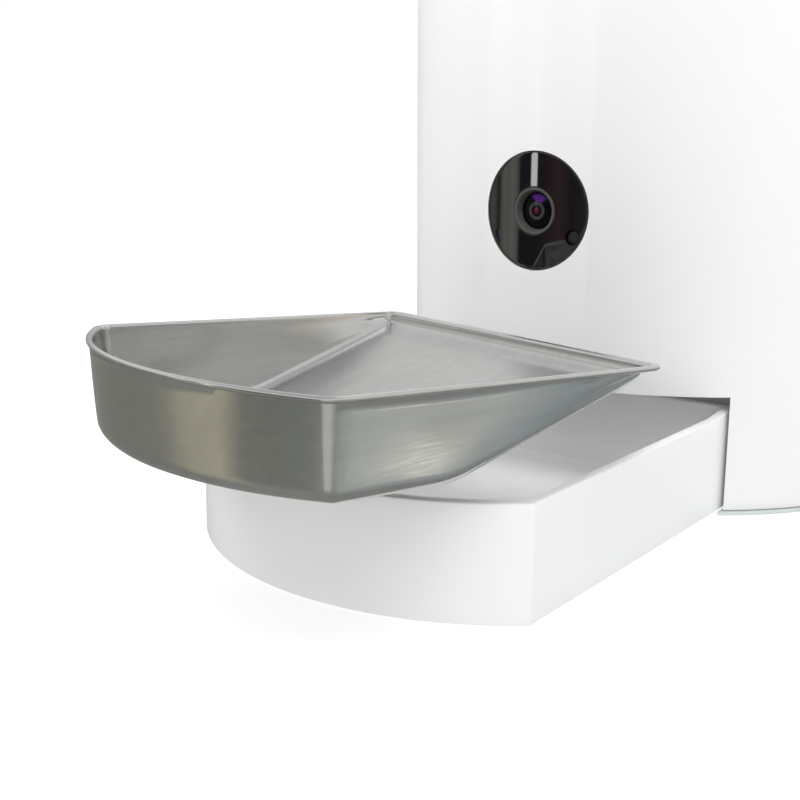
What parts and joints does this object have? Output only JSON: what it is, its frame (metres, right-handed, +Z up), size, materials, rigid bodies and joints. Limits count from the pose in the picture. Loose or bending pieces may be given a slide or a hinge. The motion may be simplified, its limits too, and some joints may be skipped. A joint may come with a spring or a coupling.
{
  "type": "automatic pet feeder",
  "caption": "Round camera pet feeder: hopper tower with a turning food wheel, pull-out front tray and a wedge-shaped steel bowl lifted above it.",
  "frame": {"origin": "on the floor, on the vertical axis of the round tower", "axes": "+Z up, -Y towards the pet (tray, bowl and camera), +X to the right of someone facing the rear from the front"},
  "size_m": [0.1892, 0.344, 0.3143],
  "materials": {
    "shell_white": "satin white moulded ABS",
    "inner_white": "matt white moulding",
    "base_grey": "pale grey-green moulding",
    "stainless": "satin brushed stainless sheet",
    "black_gloss": "polished black acrylic",
    "black_plastic": "fine matt black",
    "rubber": "matt grey rubber",
    "silicone": "translucent silicone",
    "nylon": "natural nylon",
    "zinc_steel": "zinc-plated steel",
    "circuit_board": "green solder mask",
    "lens_glass": "coated glass",
    "cell_wrap": "printed sleeve without any text",
    "hopper_clear": "smoky clear moulding",
    "light_guide": "clear light guide",
    "desiccant_paper": "unprinted paper sachet"
  },
  "bodies": {
    "tower": {"base_plate": "base_grey", "base_screw_1": "zinc_steel", "base_screw_2": "zinc_steel", "base_screw_3": "zinc_steel", "base_screw_4": "zinc_steel", "battery_box": "inner_white", "camera_board": "circuit_board", "camera_window": "black_gloss", "cell_1": "cell_wrap", "cell_2": "cell_wrap", "cell_3": "cell_wrap", "contact_strip_low": "zinc_steel", "food_chute": "inner_white", "foot_1": "rubber", "foot_2": "rubber", "foot_3": "rubber", "foot_4": "rubber", "hopper": "hopper_clear", "lens_barrel": "black_plastic", "lens_bezel": "black_plastic", "lens_glass": "lens_glass", "light_sensor": "black_gloss", "main_board": "circuit_board", "microphone": "black_plastic", "motor": "zinc_steel", "motor_bracket": "inner_white", "power_inlet": "black_plastic", "shaft_bush": "nylon", "speaker": "black_plastic", "status_light": "light_guide", "tower_shell": "shell_white", "tray_bay": "inner_white", "wheel_drum": "inner_white"},
    "food_tray": {"food_tray": "shell_white"},
    "bowl": {"steel_bowl": "stainless"},
    "lid": {"lid_top": "shell_white", "lid_liner": "inner_white", "lid_seal": "silicone", "desiccant_cup": "inner_white", "desiccant_pack": "desiccant_paper"},
    "lid_latch": {"lid_latch": "shell_white"},
    "desiccant_cover": {"desiccant_cover": "inner_white"},
    "food_wheel": {"food_wheel": "nylon", "stirrer": "nylon", "drive_shaft": "zinc_steel", "drive_gear": "nylon", "wiper_blade_1": "silicone", "wiper_blade_2": "silicone", "wiper_blade_3": "silicone", "wiper_blade_4": "silicone", "wiper_blade_5": "silicone", "wiper_blade_6": "silicone"},
    "motor_pinion": {"motor_pinion": "nylon", "motor_shaft": "zinc_steel"},
    "battery_door": {"battery_door": "shell_white"},
    "feed_button": {"feed_button": "shell_white"},
    "reset_button": {"reset_button": "black_plastic"}
  },
  "joints": [
    {"name": "tray_slide", "type": "slide", "parent": "tower", "child": "food_tray", "axis": [0, -1, 0], "range_m": [0, 0.13]},
    {"name": "bowl_lift", "type": "slide", "parent": "food_tray", "child": "bowl", "axis": [0, 0, 1], "range_m": [-0.008, 0.12]},
    {"name": "lid_lift", "type": "slide", "parent": "tower", "child": "lid", "axis": [0, 0, 1], "range_m": [0, 0.06]},
    {"name": "latch_press", "type": "slide", "parent": "lid", "child": "lid_latch", "axis": [0, 0, -1], "range_m": [0, 0.002], "stiffness_N_per_m": 300, "springref_m": -0.002},
    {"name": "cover_drop", "type": "slide", "parent": "lid", "child": "desiccant_cover", "axis": [0, 0, -1], "range_m": [0, 0.02]},
    {"name": "feed_press", "type": "slide", "parent": "tower", "child": "feed_button", "axis": [0, 1, 0], "range_m": [0, 0.0015], "stiffness_N_per_m": 400, "springref_m": -0.001},
    {"name": "reset_press", "type": "slide", "parent": "tower", "child": "reset_button", "axis": [0, -1, 0], "range_m": [0, 0.001], "stiffness_N_per_m": 400, "springref_m": -0.001},
    {"name": "battery_door_pull", "type": "slide", "parent": "tower", "child": "battery_door", "axis": [0, 1, 0], "range_m": [0, 0.04]},
    {"name": "wheel_spin", "type": "hinge", "parent": "tower", "child": "food_wheel", "pos_m": [0, 0, 0.063], "axis": [0, 0, 1], "continuous": true},
    {"name": "pinion_spin", "type": "hinge", "parent": "tower", "child": "motor_pinion", "pos_m": [0, 0.032, 0.063], "axis": [0, 0, 1], "continuous": true}
  ],
  "couplings": [
    {"joint": "pinion_spin", "follows": "wheel_spin", "ratio": -3}
  ]
}
